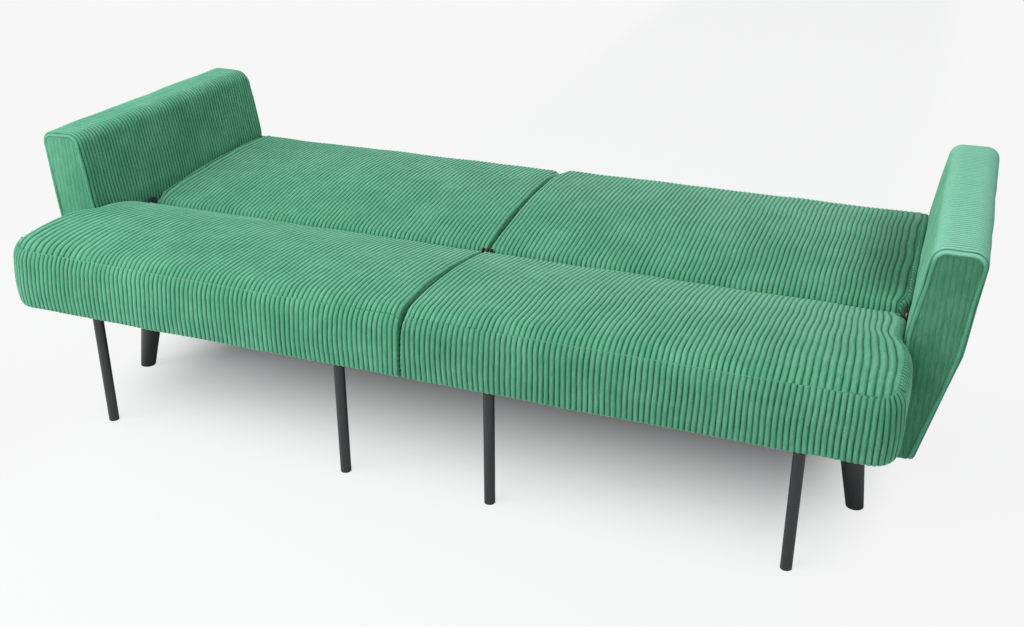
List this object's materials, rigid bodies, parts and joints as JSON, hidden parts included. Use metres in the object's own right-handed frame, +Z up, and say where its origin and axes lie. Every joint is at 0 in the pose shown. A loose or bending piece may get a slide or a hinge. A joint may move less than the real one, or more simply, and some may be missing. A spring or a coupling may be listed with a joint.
{
  "type": "click clack sofa bed",
  "caption": "Sofa bed whose split backrest clicks down flat level with the seat, with boxed arms, splayed legs and fold-out legs under the backs.",
  "frame": {"origin": "middle of the footprint of the flat bed, on the floor", "axes": "+Z up, +X along the length towards the sitter's left, -Y towards the front of the sofa, so the flat backs lie at +Y"},
  "size_m": [2.008, 0.966, 0.567],
  "materials": {
    "corduroy": "wide-wale cotton velvet corduroy, green",
    "foam": "open-cell upholstery foam",
    "leg_wood": "black lacquered turned wood, satin",
    "dust_cloth": "black non-woven cloth over board",
    "foot_plastic": "black moulded cap",
    "black_steel": "black powder coat, satin",
    "hinge_steel": "black electrocoat",
    "zinc_steel": "zinc plated",
    "pine": "bare sawn pine and plywood"
  },
  "bodies": {
    "root": {"apron_covers": "corduroy", "arm_boards": "pine", "arm_bolts": "zinc_steel", "arm_cover_left": "corduroy", "arm_cover_right": "corduroy", "arm_foam_left": "foam", "arm_foam_right": "foam", "base_centre_rail": "pine", "base_corner_blocks": "pine", "base_dust_cloth": "dust_cloth", "base_front_rail": "pine", "base_hinge_rail": "pine", "base_rear_rail": "pine", "base_side_rails": "pine", "base_wood_screws": "zinc_steel", "centre_hinge_bracket": "hinge_steel", "hinge_pins": "zinc_steel", "hinge_seat_plates": "hinge_steel", "leg_plates": "black_steel", "pawl_springs": "zinc_steel", "seat_cover_left": "corduroy", "seat_cover_right": "corduroy", "seat_foam_left": "foam", "seat_foam_right": "foam", "seat_springs": "zinc_steel", "sofa_leg_front_left": "leg_wood", "sofa_leg_front_right": "leg_wood", "sofa_leg_rear_left": "leg_wood", "sofa_leg_rear_right": "leg_wood", "spring_clips": "zinc_steel"},
    "back_left": {"back_cover_left": "corduroy", "back_end_rails_left": "pine", "back_foam_left": "foam", "back_head_rail_left": "pine", "back_hinge_arms_left": "hinge_steel", "back_hinge_rail_left": "pine", "back_leg_bolts_left": "zinc_steel", "back_leg_brackets_left": "black_steel", "back_panel_left": "dust_cloth", "back_screws_left": "zinc_steel"},
    "back_right": {"back_cover_right": "corduroy", "back_end_rails_right": "pine", "back_foam_right": "foam", "back_head_rail_right": "pine", "back_hinge_arms_right": "hinge_steel", "back_hinge_rail_right": "pine", "back_leg_bolts_right": "zinc_steel", "back_leg_brackets_right": "black_steel", "back_panel_right": "dust_cloth", "back_screws_right": "zinc_steel"},
    "hinge_pawl_left": {"hinge_pawl_left": "zinc_steel"},
    "hinge_pawl_right": {"hinge_pawl_right": "zinc_steel"},
    "inner_leg_left": {"inner_leg_cap_left": "foot_plastic", "inner_leg_left": "black_steel"},
    "inner_leg_right": {"inner_leg_cap_right": "foot_plastic", "inner_leg_right": "black_steel"},
    "outer_leg_left": {"outer_leg_cap_left": "foot_plastic", "outer_leg_left": "black_steel"},
    "outer_leg_right": {"outer_leg_cap_right": "foot_plastic", "outer_leg_right": "black_steel"}
  },
  "joints": [
    {"name": "back_left_recline", "type": "hinge", "parent": "root", "child": "back_left", "pos_m": [0.43, 0.048, 0.357], "axis": [1, 0, 0], "range_deg": [0, 92]},
    {"name": "inner_leg_left_fold", "type": "hinge", "parent": "back_left", "child": "inner_leg_left", "pos_m": [0.16, 0.432, 0.257], "axis": [-1, 0, 0], "range_deg": [0, 90]},
    {"name": "outer_leg_left_fold", "type": "hinge", "parent": "back_left", "child": "outer_leg_left", "pos_m": [0.741, 0.432, 0.257], "axis": [-1, 0, 0], "range_deg": [0, 90]},
    {"name": "pawl_left_tilt", "type": "hinge", "parent": "root", "child": "hinge_pawl_left", "pos_m": [0.8667, 0.05455, 0.328], "axis": [-1, 0, 0], "range_deg": [0, 8], "stiffness_Nm_per_rad": 0.05, "deforming": ["pawl_springs"]},
    {"name": "back_right_recline", "type": "hinge", "parent": "root", "child": "back_right", "pos_m": [-0.43, 0.048, 0.357], "axis": [1, 0, 0], "range_deg": [0, 92]},
    {"name": "inner_leg_right_fold", "type": "hinge", "parent": "back_right", "child": "inner_leg_right", "pos_m": [-0.16, 0.432, 0.257], "axis": [-1, 0, 0], "range_deg": [0, 90]},
    {"name": "outer_leg_right_fold", "type": "hinge", "parent": "back_right", "child": "outer_leg_right", "pos_m": [-0.741, 0.432, 0.257], "axis": [-1, 0, 0], "range_deg": [0, 90]},
    {"name": "pawl_right_tilt", "type": "hinge", "parent": "root", "child": "hinge_pawl_right", "pos_m": [-0.8667, 0.05455, 0.328], "axis": [-1, 0, 0], "range_deg": [0, 8], "stiffness_Nm_per_rad": 0.05, "deforming": ["pawl_springs"]}
  ]
}
